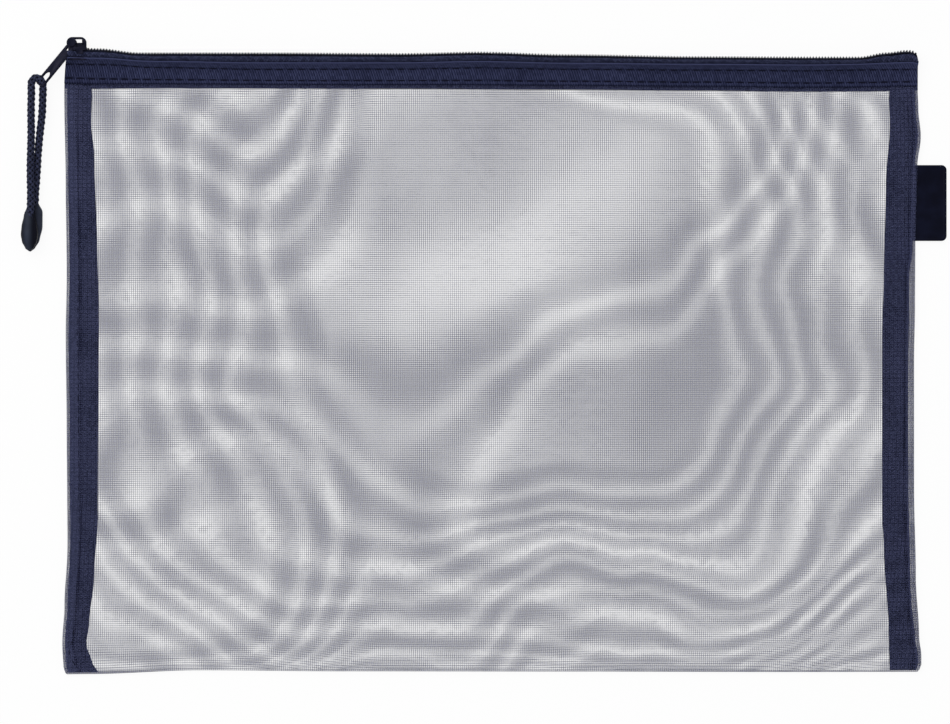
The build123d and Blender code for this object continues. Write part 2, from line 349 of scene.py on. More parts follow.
def setCamera(scene):
    pixel = photo["pixel"] * mm
    x = (photo["width"] / 2 - photo["middle"][0]) * pixel
    y = (photo["middle"][1] - photo["height"] / 2) * pixel
    z = photo["width"] * pixel * studio["lens"] / studio["sensor"]
    bpy.ops.object.camera_add(location=(x, y, z), rotation=(0, 0, 0))
    eye = bpy.context.object
    eye.data.lens, eye.data.sensor_width = studio["lens"], studio["sensor"]
    eye.data.clip_end = studio["far"]
    scene.camera = eye


def setLight(scene):
    bpy.ops.object.light_add(type="AREA", location=studio["lampAt"])
    lamp = bpy.context.object
    lamp.data.energy, lamp.data.size = studio["lamp"], studio["lampSize"]
    lamp.rotation_euler = Vector(studio["lampAt"]).to_track_quat("Z", "Y").to_euler()
    world = scene.world or bpy.data.worlds.new("studioSky")
    scene.world = world
    world.use_nodes = True
    sky = world.node_tree.nodes["Background"]
    sky.inputs["Color"].default_value = (1, 1, 1, 1)
    level = maths("MULTIPLY_ADD", backdropRays(sky), 1 - studio["sky"], studio["sky"])
    feed(sky.inputs["Strength"], level)


def setFloor():
    floor = added("floor", "plane", size=floorLook["reach"], location=(0, 0, -floorLook["drop"] * mm))
    material, shader = newMaterial("paleFloor")
    for name, value in (("Base Color", floorLook["color"]), ("Roughness", floorLook["rough"]),
                        ("Specular IOR Level", 0.0)):
        feed(shader.inputs[name], value)
    glow = beside(shader, "Emission")
    mixed = beside(shader, "MixShader")
    glowing = times(backdropRays(shader), floorLook["glow"])
    for socket, value in zip(mixed.inputs, (glowing, shader.outputs[0], glow.outputs[0])):
        feed(socket, value)
    feed(material.node_tree.nodes["Material Output"].inputs["Surface"], mixed.outputs[0])
    floor.data.materials.append(material)


bpy.context.scene.view_settings.view_transform = "Standard"
bpy.ops.object.select_all(action="DESELECT")
setCamera(bpy.context.scene)
setLight(bpy.context.scene)
setFloor()
print("camera, lamp and floor set")


# cord: one length of braid, doubled through the pull's slot, with both ends in the drop-shaped end

cordLook = dict(
    diameter=3.0, strands=4, lay=8.8, core=0.82, weave=0.2, strand=0.66, step=0.3,
    crown=(1.2, 1.62), fibre=0.6, fibreSlant=0.8, fuzz=0.8, fuzzShare=(0.25, 0.7, 0.3, 1.0),
    rough=(0.2, 0.8, 0.4, 0.65), gloss=0.1, relief=(0.06, 0.6),
    dark=(0.0008, 0.0012, 0.005), light=(0.036, 0.042, 0.09),
)
cordRoute = [
    (-183.3, 57.5, 5.45), (-182.9, 64.5, 5.45), (-183.3, 77.0, 5.15), (-182.9, 90.0, 4.6),
    (-183.1, 101.0, 4.25), (-182.9, 107.5, 4.1), (-183.1, 112.1, 4.1), (-180.6, 113.6, 4.1),
    (-178.2, 111.6, 4.1), (-178.4, 107.0, 4.1), (-178.6, 99.0, 3.95), (-179.6, 91.5, 3.5),
    (-180.4, 84.0, 3.1), (-180.9, 75.0, 2.75), (-181.8, 64.5, 2.55), (-181.7, 57.5, 2.55),
]


def newCurve(name, kind, runs, **settings):  # one spline for each run of points, in metres
    curve = bpy.data.curves.new(name, "CURVE")
    curve.dimensions = "3D"
    for key, value in settings.items():
        setattr(curve, key, value)
    for run in runs:
        spline = curve.splines.new(kind)
        spline.points.add(len(run) - 1)
        for point, place in zip(spline.points, run):
            point.co = (*place, 1)
    holder = bpy.data.objects.new(name, curve)
    bpy.context.scene.collection.objects.link(holder)
    return holder


def cordLine():  # the route's own smooth line
    route = [Vector(place) * mm for place in cordRoute]
    holder = newCurve("cordLine", "NURBS", [route], resolution_u=24)
    holder.data.splines[0].order_u = 3
    holder.data.splines[0].use_endpoint_u = True
    mesh = bpy.data.meshes.new_from_object(holder)
    line = [v.co.copy() for v in mesh.vertices]
    bpy.data.objects.remove(holder)
    bpy.data.meshes.remove(mesh)
    return line


def evenSteps(line, step):
    spots, since = [line[0]], 0.0
    for a, b in zip(line, line[1:]):
        run = (b - a).length
        while since + run >= step:
            a = a.lerp(b, (step - since) / run)
            run = (b - a).length
            since = 0.0
            spots.append(a.copy())
        since += run
    return spots


def cordMaterial():
    material, shader = newMaterial("braidedCord")
    (_, y, z), where = axes(shader)
    fibres = ripple(maths("MULTIPLY_ADD", z, cordLook["fibreSlant"], y), cordLook["fibre"])
    fuzz = grain(where, cordLook["fuzz"], 3.0)
    # painted highlight: the strand crowns, far out from the cord's line, are painted lighter
    crown = spread(stored(shader, "crown"), *cordLook["crown"])
    share = times(crown, spread(fuzz, *cordLook["fuzzShare"]))
    surfaced(shader, cordLook, tinted(share, cordLook), fuzz, fibres)
    return material


def braid(spots):  # the run of points of each strand
    turn = 2 * math.pi * cordLook["step"] / cordLook["lay"]
    beat = cordLook["strands"] * turn
    runs = [(b - a).normalized() for a, b in zip(spots, spots[1:])]
    runs.append(runs[-1])
    side = runs[0].orthogonal().normalized()
    sides = []
    for run in runs:  # carried along without twisting
        side = (side - run * side.dot(run)).normalized()
        sides.append(side.copy())
    strands = []
    for way in (1, -1):
        for k in range(cordLook["strands"]):
            strand = []
            for i, (spot, run, side) in enumerate(zip(spots, runs, sides)):
                angle = way * i * turn + k * 2 * math.pi / cordLook["strands"]
                reach = (cordLook["core"] + way * cordLook["weave"] * math.cos(beat * i)) * mm
                strand.append(spot + (side * math.cos(angle) + run.cross(side) * math.sin(angle)) * reach)
            strands.append(strand)
    return strands


def makeCord(spots):
    pick(newCurve("cord", "POLY", braid(spots), bevel_depth=cordLook["strand"] * mm, bevel_resolution=1,
                  use_fill_caps=True))
    bpy.ops.object.convert(target="MESH")
    cord = newPiece("cord")
    bpy.ops.object.shade_smooth()
    middle = kdtree.KDTree(len(spots))
    for i, spot in enumerate(spots):
        middle.insert(spot, i)
    middle.balance()
    store(cord, "crown", lambda place: middle.find(place)[2] / mm)  # distance out from the cord's own line, where the material paints a highlight on the strand crowns
    return finishPiece(cord, cordMaterial(), "cord", "pull_cord", "cord_knot")


cordSpots = evenSteps(cordLine(), cordLook["step"] * mm)
cord = makeCord(cordSpots)
print("cord braided")


# cord end: two almond shells, the front one set to the left of the back one

cordEnd = dict(
    mouth=63.8, tip=44.1, segments=40, rings=32, blunt=4,
    cloud=4, cloudShare=(0.3, 0.7, 0.75, 1.0), speck=0.25, highlightReach=2.6,
    rough=(0.3, 0.7, 0.34, 0.48), gloss=0.08, relief=(0.04, 0.5),
    front=dict(
        level=5.0, high=2.85, axis=((0.0, -183.6), (1.0, -183.6)),
        halfWidths=((0.0, 0.3), (0.08, 1.0), (0.28, 2.3), (0.5, 3.2), (0.66, 3.5), (0.8, 3.05), (0.93, 1.8),
                    (1.0, 0.3)),
        # the front shell's painted highlight runs down left of its middle
        wearAndHighlight=-184.3, tones=((0.001, 0.0015, 0.006), (0.024, 0.031, 0.05)),
    ),
    back=dict(
        level=2.6, high=2.45,
        axis=((0.0, -182.0), (0.2, -181.5), (0.5, -181.9), (0.8, -182.6), (1.0, -183.5)),
        halfWidths=((0.0, 1.7), (0.2, 2.9), (0.5, 3.25), (0.75, 2.8), (0.93, 1.6), (1.0, 0.3)),
        # the back shell's tones are lighter than the front's, a painted lit copy, with a painted highlight on
        # its right side
        wearAndHighlight=-179.0, tones=((0.003, 0.0045, 0.012), (0.03, 0.036, 0.056)),
    ),
)


def cordEndMaterial(name, facts):  # matte, with a painted highlight in a band down each shell
    material, shader = newMaterial(name)
    (x, _, _), where = axes(shader)
    cloud = grain(where, cordEnd["cloud"])
    speck = grain(where, cordEnd["speck"])
    # painted highlight: lighter in a band along the shell, fading out to the sides
    off = maths("ABSOLUTE", maths("SUBTRACT", x, facts["wearAndHighlight"] * mm))
    wearAndHighlight = spread(off, 0.0, cordEnd["highlightReach"] * mm, 1.0, 0.0)
    share = times(wearAndHighlight, spread(cloud, *cordEnd["cloudShare"]))
    surfaced(shader, cordEnd, mixColor(share, *facts["tones"]), speck, speck)
    return material


def cordShell(half):
    facts = cordEnd[half]
    shell = added("cordEnd" + half.title(), "uv_sphere", segments=cordEnd["segments"],
                  ring_count=cordEnd["rings"], radius=1)
    quarterTurn("X")
    widest = max(width for _, width in facts["halfWidths"])
    for vertex in shell.data.vertices:  # each ring of the ball becomes one cross-section of the almond
        down = (1 - vertex.co.y) / 2
        ring = math.hypot(vertex.co.x, vertex.co.z)
        swell = along(facts["halfWidths"], down) * min(1.0, cordEnd["blunt"] * ring)
        sideways, upwards = (vertex.co.x / ring, vertex.co.z / ring) if ring > 1e-6 else (0.0, 0.0)
        x = along(facts["axis"], down) + sideways * swell
        y = cordEnd["mouth"] + (cordEnd["tip"] - cordEnd["mouth"]) * down
        vertex.co = Vector((x, y, facts["level"] + upwards * swell * facts["high"] / widest)) * mm
    outwards(shell)
    applied(shell, "SUBSURF", levels=1, render_levels=1)
    bpy.ops.object.shade_smooth()
    plastic = cordEndMaterial("mattePlastic" + half.title(), facts)
    return finishPiece(shell, plastic, "cord_end", "cord_end_" + half, rides="cord")


endFront, endBack = [cordShell(half) for half in ("front", "back")]
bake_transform(cord)
print("cord end made")


# wallet outline, in mm: side edges by height, and how far the zip band strays along the zip

wallet = dict(
    edge={
        -1: ((-124, -169.4), (-121, -170.5), (-112, -171.0), (-97, -170.1), (-73, -168.9), (-25, -169.2),
             (11, -169.6), (35, -169.2), (71, -169.6), (107, -170.2), (126, -168.9)),
        1: ((-124, 169.8), (-121, 171.2), (-117, 171.2), (-109, 170.3), (-85, 169.0), (-49, 168.3),
            (0, 168.3), (23, 168.7), (47, 168.8), (78, 169.6), (90, 171.0), (101, 170.0), (110, 169.7),
            (126, 169.8)),
    },
    foot=108.55, row=116.05, ridge=123.75, fold=-122.6, pocketTop=107.6,
    foldFade=14, footFade=6,
    foldShift=((-170, -0.6), (-160, -0.5), (-116, 1.0), (-60, 0.6), (30, 0.5), (120, 0.3), (170, 0.4)),
    footShift=((-170, 0.8), (-156, 0.5), (-132, 0.7), (-36, 0.4), (30, 0.1), (83, -0.3), (125, -0.7),
               (150, -0.6), (166, -0.2)),
    rowShift=((-170, 2.7), (-156, 2.5), (-132, 1.3), (-92, 0.6), (-36, 0.7), (-5, 1.2), (30, 0.6),
              (83, 0.3), (125, 0.0), (150, 0.4), (166, 0.5)),
    ridgeShift=((-170, 1.9), (-156, 1.2), (-140, -0.4), (-92, -0.4), (-36, -0.7), (-5, -0.1), (30, -1.1),
                (83, -1.9), (125, -2.1), (146, -2.1), (157, -0.4), (165, 0.5), (170, 0.5)),
)


def bandShift(x, y):  # how far the real edge strays up or down at this place
    fold, foot, row, ridge = [(wallet[name], along(wallet[name + "Shift"], x))
                              for name in ("fold", "foot", "row", "ridge")]
    still = (fold[0] + wallet["foldFade"], 0.0), (foot[0] - wallet["footFade"], 0.0)
    return along((fold, *still, foot, row, ridge), y)


def sideEdge(side, y):
    return abs(along(wallet["edge"][-1 if side < 0 else 1], y))


# net: open weave of fine coated threads, one sheet folded at the bottom

net = dict(
    pitch=(0.82, 0.86), thread=0.1, soft=0.025, slack=0.03, slackSize=24, film=0.185,
    wobble=0.22, wobbleSize=4.5, backCrowd=0.4, sight=1580,  # sight: how far up the camera is
    hemShift=0.36, hemCrowd={-1: 0.8, 1: 1.2}, hemReach=2.6, foldCrowd=1.6, foldReach=0.2,
    fade=0.8, color=(0.035, 0.04, 0.095), overHighlight=(0.088, 0.098, 0.2),
    rough=(0.0, 1.0, 0.5, 0.65), gloss=0.12, relief=(0.06, 0.5),
    frontZ=2.12, backZ=0.14, bandZ=0.72, bandFrom=105.4, bandStep=3.0, top=113.5,
    foldRadius=0.99, foldShare=0.1, roll=0.34, turnIn=2.0, border=2.0, plain=0.88,
    columns=92, rows=118, hidden=6,  # hidden: net inside the zip band
)
rise = dict(puff=3.3, side=24, fold=30, top=22, crumple=0.2, crumpleReach=60,
            crease=0.28, creaseReach=(16, 22))

# where the front's threads stray from the back's, which draws the bands of light and dark
settle = 0.8  # how far the two layers' threads fall in step
wander = dict(far=16, farReach=56, near=3.5, nearReach=20)  # the whole pattern's slow drift, in mm
lean = dict(across=0.3, upward=-0.28, stray=0.5, reach=60)
pillow = dict(x=8, y=20, reach=(128, 104), start=0.6, span=0.5, threads=(3.6, 5.2), merge=90,
              square=3.0, taller=0.8, growth=1.15)
fan = dict(low=(-62, -44), high=(140, 96), width=56, bow=14, pinch=0.62, narrow=0.7, flare=6.4,
           threads=2.3, before=10, fade=70)
weftDrift = dict(leftOf=-40, leftFade=60, leftPitch=26, rightOf=100, rightFade=60, rightPitch=34)
sag = dict(start=-66, span=50, threads=1.3, crowd=2.6, crowdReach=8)


def inStep(turns):  # the layers lie thread on thread for longer than they cross
    return turns - settle / (2 * math.pi) * math.sin(2 * math.pi * turns)


def soft(x, y, reach, level):
    return noise.noise(Vector((x / reach, y / reach, level)))


def drift(x, y, farLevel, nearLevel):
    return (wander["far"] * soft(x, y, wander["farReach"], farLevel)
            + wander["near"] * soft(x, y, wander["nearReach"], nearLevel))


def fanTurns(x, y, wideX, wideY):
    (lowX, lowY), (highX, highY) = fan["low"], fan["high"]
    long = math.hypot(highX - lowX, highY - lowY)
    runX, runY = (highX - lowX) / long, (highY - lowY) / long
    gone = ((x - lowX) * runX + (y - lowY) * runY) / long
    bow = fan["bow"] * math.sin(math.pi * min(max(gone, 0), 1))
    off = (wideY - lowY) * runX - (wideX - lowX) * runY + bow
    width = fan["width"] * (fan["narrow"] + fan["flare"] * (gone - fan["pinch"]) ** 2)
    shown = eased((gone * long + fan["before"]) / fan["fade"])
    return fan["threads"] * (eased(off / width + 0.5) - 0.5) * shown


def threadTurns(x, y):  # how many threads the front strays from the back, across and up
    wideX = x + drift(x, y, 3.1, 5.7)
    wideY = y + drift(x, y, 9.3, 12.9)
    across = lean["across"] + lean["stray"] * soft(x, y, lean["reach"], 15.1)
    upward = lean["upward"] + lean["stray"] * soft(x, y, lean["reach"], 18.4)
    far = abs(wideX - pillow["x"]) / pillow["reach"][0]
    high = (wideY - pillow["y"]) / pillow["reach"][1]
    high = pillow["taller"] * high if high > 0 else -high
    out = (far ** pillow["square"] + high ** pillow["square"]) ** (1 / pillow["square"])
    left, right = pillow["threads"]
    threads = left + (right - left) * eased((wideX - pillow["x"]) / pillow["merge"] + 0.5)
    across += threads * max(0.0, (out - pillow["start"]) / pillow["span"]) ** pillow["growth"]
    upward += fanTurns(x, y, wideX, wideY)
    upward += wideY / weftDrift["leftPitch"] * eased((weftDrift["leftOf"] - x) / weftDrift["leftFade"])
    upward -= wideY / weftDrift["rightPitch"] * eased((x - weftDrift["rightOf"]) / weftDrift["rightFade"])
    upward += sag["threads"] * eased((sag["start"] - wideY) / sag["span"])
    upward += sag["crowd"] * math.exp(-(y - wallet["fold"]) / sag["crowdReach"])
    return across, upward


def gathered(place):  # -1 where the layers lie thread on thread, 1 where they cross
    return -sum(math.cos(2 * math.pi * turn) for turn in threadTurns(place.x / mm, place.y / mm)) / 2


def frontRise(side, x, y):
    inwards = eased((sideEdge(side, y) - abs(x)) / rise["side"])
    upwards = eased((y - wallet["fold"]) / rise["fold"]) * eased((wallet["pocketTop"] - y) / rise["top"])
    crumple = 1 - rise["crumple"] + rise["crumple"] * soft(x, y, rise["crumpleReach"], 1.7)
    reachX, reachY = rise["creaseReach"]
    creases = rise["crease"] * noise.noise(Vector((x / reachX, y / reachY, 5.2)))
    return (rise["puff"] * crumple + creases) * inwards * upwards


def acrossNet(side, share, y):  # x, depth of the rolled edge and flat reach, by the share of the net's width
    plain, border, roll = net["plain"], net["border"], net["roll"]
    edge = sideEdge(side, y) - roll
    if share <= plain:
        return side * (edge - border) * share / plain, 0.0, (edge - border) * share / plain
    run = (share - plain) / (1 - plain) * (border + math.pi * roll + net["turnIn"])
    reach = edge - border + run
    bend = (run - border) / roll
    if bend <= 0:
        return side * reach, 0.0, reach
    if bend <= math.pi:
        return side * (edge + roll * math.sin(bend)), roll * (1 - math.cos(bend)), reach
    return side * (edge - (bend - math.pi) * roll), 2 * roll, reach + net["hemShift"]


def frontNet(side):
    def height(t):
        return wallet["fold"] + (net["top"] - wallet["fold"]) * t

    def place(s, t):
        y = height(t)
        x, sunk, _ = acrossNet(side, s, y)
        return x, y + bandShift(x, y), net["frontZ"] + frontRise(side, x, y) - sunk

    def thread(s, t):
        y = height(t)
        x, _, reach = acrossNet(side, s, y)
        u, v = [inStep(turns) * pitch for turns, pitch in zip(threadTurns(x, y), net["pitch"])]
        finer = 1 + (net["frontZ"] + frontRise(side, x, y) - net["backZ"]) / net["sight"]
        return side * reach * finer + u, y * finer + v

    def crowd(place):  # where the slack net gathers
        inside = sideEdge(side, place.y / mm) - abs(place.x) / mm
        hem = eased((net["hemReach"] - inside) / net["fade"])
        slack = gathered(place)
        return slack + (net["hemCrowd"][side] - slack) * hem

    piece = gridPiece("netFront" + hands[side], net["columns"], net["rows"], place, thread)
    store(piece, "crowd", crowd)
    if side < 0:
        piece.data.flip_normals()
    return piece


def backNet():
    radius, foldShare = net["foldRadius"], net["foldShare"]
    bend = math.pi * radius

    def walk(t):  # y, z, which way is in, and the length gone
        if t < foldShare:
            angle = t / foldShare * math.pi
            y = wallet["fold"] - radius * math.sin(angle)
            z = net["backZ"] + radius + radius * math.cos(angle)
            return y, z, (math.sin(angle), -math.cos(angle)), t / foldShare * bend
        run = (t - foldShare) / (1 - foldShare) * (net["top"] - wallet["fold"])
        y = wallet["fold"] + run
        step = eased((y - net["bandFrom"]) / net["bandStep"]) * (net["bandZ"] - net["backZ"])
        return y, net["backZ"] + step, (0.0, 1.0), bend + run

    def place(s, t):
        y, z, (inY, inZ), _ = walk(t)
        x, sunk, _ = acrossNet(-1 if s < 0.5 else 1, abs(2 * s - 1), y)
        return x, y + bandShift(x, y) + inY * sunk, z + inZ * sunk

    def thread(s, t):
        y, _, _, run = walk(t)
        side = -1 if s < 0.5 else 1
        _, _, reach = acrossNet(side, abs(2 * s - 1), y)
        return side * reach, run - bend + wallet["fold"]

    def crowd(place):
        under = wallet["fold"] + net["foldReach"] - place.y / mm
        return net["backCrowd"] * gathered(place) + net["foldCrowd"] * eased(under / net["fade"])

    piece = gridPiece("netBack", 2 * net["columns"], net["rows"], place, thread)
    store(piece, "crowd", crowd)
    piece.data.flip_normals()
    return piece


def netMaterial():
    material, shader = newMaterial("wovenNet")
    (u, v, _), where = axes(shader, "UV")
    thread, slack, wobble = net["thread"], net["slack"], net["wobble"] * mm
    sway = maths("MULTIPLY_ADD", grain(where, net["wobbleSize"]), wobble, -wobble / 2)
    half = maths("MULTIPLY_ADD", grain(where, net["slackSize"]), slack, (thread - slack) / 2)
    covers, heights, beats = [], [], []
    for value, pitch in zip((u, v), net["pitch"]):
        turns = maths("DIVIDE", maths("ADD", value, sway), pitch * mm)
        away = maths("PINGPONG", turns, 0.5)
        inside = maths("SUBTRACT", half, away)
        covers.append(spread(inside, -net["soft"], net["soft"]))
        heights.append(spread(away, 0.0, thread / 2, 1.0, 0.0))
        beats.append(ripple(value, 2 * pitch))
    # painted highlight: threads lighter where they pass over, darker where they pass under
    over = times(*beats)
    film = maths("MULTIPLY_ADD", stored(shader, "crowd"), net["film"], net["film"])
    clear = times(maths("SUBTRACT", 1.0, maths("MAXIMUM", *covers)), maths("SUBTRACT", 1.0, film))
    feed(shader.inputs["Alpha"], maths("SUBTRACT", 1.0, clear))
    color = mixColor(over, net["color"], net["overHighlight"])
    surfaced(shader, net, color, over, maths("MAXIMUM", *heights))
    return material


netCoat = netMaterial()
frontHalves = {side: frontNet(side) for side in hands}
for piece in frontHalves.values():
    finishPiece(piece, netCoat, "net", "front_panel")
netBackPiece = finishPiece(backNet(), netCoat, "net", "back_panel", rides="root")
print("net sheets made")


# zip band: knitted tapes under the coil, woven bindings sewn over the net

band = dict(
    chain=4.1, tapeThick=0.45, bindThick=0.4, net=0.35, columns=66, half=169.6,
    tapeEnd={-1: -169.4, 1: 169.6}, backFrom=-168.4,
    front=((108.55, 1.95), (112.6, 1.95), (116.75, 1.95), (119.85, 6.7), (121.95, 6.7), (121.95, 4.85)),
    back=((108.55, 0.9), (112.6, 0.9), (116.75, 0.9), (119.85, 1.5), (121.95, 1.5), (121.95, 3.35)),
    bindFoot=110.05, bindClimb=0.77, bindSteps=36,
    sewn=dict(lower=111.65, upper=116.05), sewnReach=0.7, sewnDip=0.16,
    endAt=169.8, endFlat=116.5, endOver=5.4, endCorner=3.6, crowding=1.5,
    edgeFrom=120, edgeLong=49, raisedFrom=2,
)
cloth = dict(
    cloud=30, cloudShare=(0.25, 0.75, 0.75, 1.0), fuzz=0.6, edgeFade=0.4, footReach=0.7,
    climbFade=0.8, rough=(0.2, 0.8, 0.72, 0.92), gloss=0.05, relief=(0.16, 0.8),
)
bindLook = dict(
    pitch=(1.0, 1.06), slant=0.35, rib=0.55, chance=(0.75, 1.25), climb=(6.5, 1.7),
    wide=11.0, edge=0.55, edgeReach=1.0, foot=0.8, rows=(1.6, 6.0), rowShadeWidth=0.45, rowShade=0.7,
    dark=(0.002, 0.003, 0.013), light=(0.05, 0.058, 0.13),
)
tapeLook = dict(
    pitch=(1.1, 1.2), slant=0.5, rib=0.3, chance=(0.5, 1.3), climb=(8.0, 1.0),
    wide=17.0, edge=0.2, edgeReach=0.2, foot=0.9, rows=(),
    dark=(0.002, 0.003, 0.013), light=(0.056, 0.064, 0.13),
)


def zipEnd(x, y):  # the right end rounds off
    corner = min(max((x - band["endAt"]) / band["endCorner"] + 1, 0.0), 1.0)
    drop = band["endCorner"] * (1 - math.sqrt(1 - corner * corner))
    return -drop * eased((y - band["endFlat"]) / band["endOver"])


def endSpacing(share, both):  # columns lie closer towards the band's ends
    if both:
        half = endSpacing(1 - abs(1 - 2 * share), False) / 2
        return half if share < 0.5 else 1 - half
    return share ** band["crowding"]


def thickened(strip, flipped, thick, offset):
    if flipped:
        strip.data.flip_normals()
    applied(strip, "SOLIDIFY", thickness=thick * mm, offset=offset, use_rim=True)
    smoothed(50)
    return strip


def bandStrip(name, path, xFrom, xTo, thick, outward):
    long = pathLengths(path)[-1]

    def column(s):
        return xFrom + (xTo - xFrom) * endSpacing(s, xTo != 0)

    def place(s, t):
        x = column(s)
        y, z = pickPath(path, t)
        ended = eased((abs(x) - band["edgeFrom"]) / band["edgeLong"])
        nearer = max(z - band["raisedFrom"], 0.0) / net["sight"]
        x *= 1 + (sideEdge(x, y) / band["half"] - 1) * ended - nearer
        return x, y + bandShift(x, y) + zipEnd(x, y), z

    def thread(s, t):
        return column(s), long * t

    columns = int(band["columns"] * abs(xTo - xFrom) / band["half"])
    strip = gridPiece(name, columns, len(path) - 1, place, thread)
    return thickened(strip, (xTo > xFrom) != (outward > 0), thick, -1.0)


def weaveMaterial(name, look):  # two thread directions with a painted highlight on their crowns, no two crossings alike
    material, shader = newMaterial(name)
    (u, v, _), where = axes(shader, "UV")
    u = maths("MULTIPLY_ADD", v, look["slant"], u)
    pitchU, pitchV = look["pitch"]
    rib = ripple(u, pitchU)
    crown = times(rib, ripple(v, pitchV))
    other = times(ripple(u, pitchU, math.pi), ripple(v, pitchV, math.pi))
    crossed = times(maths("ADD", crown, other), 1 - look["rib"])
    weave = maths("MULTIPLY_ADD", rib, look["rib"], crossed)
    crossing = beside(shader, "CombineXYZ")
    for socket, value, pitch in zip(crossing.inputs, (u, v), look["pitch"]):
        feed(socket, maths("FLOOR", maths("DIVIDE", value, pitch * mm)))
    chance = beside(shader, "TexWhiteNoise")
    chance.noise_dimensions = "2D"
    feed(chance.inputs["Vector"], crossing.outputs[0])
    cloud = grain(where, cloth["cloud"])
    fuzz = grain(where, cloth["fuzz"])
    share = times(weave, spread(chance.outputs["Value"], 0.0, 1.0, *look["chance"]))
    share = times(share, spread(cloud, *cloth["cloudShare"]))
    # painted highlight along the strip's far edge
    rim = look["wide"] - look["edgeReach"]
    edgeHighlight = spread(v, (rim - cloth["edgeFade"]) * mm, rim * mm, 0.0, look["edge"])
    share = maths("ADD", share, edgeHighlight)
    share = times(share, spread(v, 0.0, cloth["footReach"] * mm, 1 - look["foot"], 1.0))
    climb, paler = look["climb"]  # paler where the strip climbs and takes less light
    share = times(share, spread(v, climb * mm, (climb + cloth["climbFade"]) * mm, 1.0, paler))
    for row in look["rows"]:  # painted shade along each stitch row
        near = maths("ABSOLUTE", maths("SUBTRACT", v, row * mm))
        share = times(share, spread(near, look["rowShadeWidth"] / 3 * mm, look["rowShadeWidth"] * mm, look["rowShade"]))
    surfaced(shader, cloth, tinted(share, look), fuzz, weave)
    return material


def bindPath(outward):  # outer face, pulled in where it is sewn
    flat, bend, shoulder = [band["front" if outward > 0 else "back"][i] for i in (0, 2, 3)]
    top = [b + (s - b) * band["bindClimb"] for b, s in zip(bend, shoulder)]
    path = [(band["bindFoot"], flat[1]), ((band["bindFoot"] + bend[0]) / 2, flat[1]), bend, top]
    path = evenPath(rounded(path, 2), band["bindSteps"])
    path = offsetPath(path, outward * (band["net"] + band["bindThick"]))
    sewn = []
    for y, z in path:
        dip = sum(math.exp(-((y - row) / band["sewnReach"]) ** 2) for row in band["sewn"].values())
        sewn.append((y, z - outward * band["sewnDip"] * dip))
    return sewn


def tapeAndBinding(where, outward, tapeFrom, bindFrom, xTo):
    half, rides = ("front", None) if outward > 0 else ("back", "root")
    tape = bandStrip("zipTape" + where, rounded(band[half]), tapeFrom, xTo, band["tapeThick"], outward)
    finishPiece(tape, tapeCloth, "zip_tape", half + "_zip_tape", rides=rides)
    bind = bandStrip("zipBinding" + where, bindPath(outward), bindFrom, xTo, band["bindThick"], outward)
    finishPiece(bind, bindCloth, "binding", half + "_zip_binding", rides=rides)
    return tape, bind


bindCloth = weaveMaterial("wovenBinding", bindLook)
tapeCloth = weaveMaterial("knittedTape", tapeLook)
frontBand = []  # the front band's pieces, each with its side
for side, hand in hands.items():
    pair = tapeAndBinding("Front" + hand, 1, band["tapeEnd"][side], side * band["half"], 0.0)
    frontBand += [(side, piece) for piece in pair]
tapeAndBinding("Back", -1, band["backFrom"], -band["half"], band["half"])
print("zip tapes and bindings made")


# coil: one loop of moulded wire, copied along the zip for each half

coil = dict(
    pitch=1.2, wire=0.26, loopSteps=12, wireSides=6, halfHeight=0.64, halfWidth=1.35,
    core=(0.6, 1.05), coreDrop=0.28, coreSides=12, coreCuts=24, backDrop=0.22, shift=0.47,
    middle=122.85, start=-164.0, to=169.3, leftTo=-0.01, tilt=0.34,
    cloud=1.5, cloudShare=(0.3, 0.7), speck=0.2,
    rough=(0.2, 0.8, 0.28, 0.45), gloss=0.15, relief=(0.02, 0.4),
    dark=(0.001, 0.0014, 0.006), light=(0.008, 0.01, 0.028),
)


def coilMaterial():
    material, shader = newMaterial("mouldedCoil")
    _, where = axes(shader)
    cloud = grain(where, coil["cloud"])
    share = spread(cloud, *coil["cloudShare"])
    surfaced(shader, coil, tinted(share, coil), cloud, grain(where, coil["speck"], 1.0))
    return material


def coilHeight(x):  # of the coil's middle along the zip
    return coil["middle"] + bandShift(x, wallet["ridge"]) + zipEnd(x, wallet["ridge"])


def coilRun(name, xFrom, xTo, outward):
    run = added(name, "torus", major_segments=coil["loopSteps"], minor_segments=coil["wireSides"],
                major_radius=1.0, minor_radius=coil["wire"])
    pitch = coil["pitch"]
    start = coil["start"] + (0.0 if outward > 0 else pitch / 2)
    first = start + math.ceil((xFrom - start) / pitch) * pitch
    count = int((xTo - first) / pitch) + 1
    for vertex in run.data.vertices:
        angle = math.atan2(vertex.co.y, vertex.co.x)
        swell = math.hypot(vertex.co.x, vertex.co.y) - 1.0
        y = (coil["halfHeight"] + swell) * math.cos(angle)
        z = (coil["halfWidth"] + swell) * math.sin(angle)
        x = vertex.co.z + outward * coil["tilt"] * math.cos(angle)
        vertex.co = Vector((first + x, y, z)) * mm
    repeated(run, count, pitch)
    level = band["chain"] + outward * coil["shift"]
    drop = coil["backDrop"] if outward < 0 else 0.0
    for vertex in run.data.vertices:
        x, y, z = vertex.co / mm
        vertex.co = Vector((x, y + coilHeight(x) - drop, z + level)) * mm
    run = joined(name, run, coilCore(first, first + (count - 1) * pitch, level))
    outwards(run)
    smoothed(60)
    return run


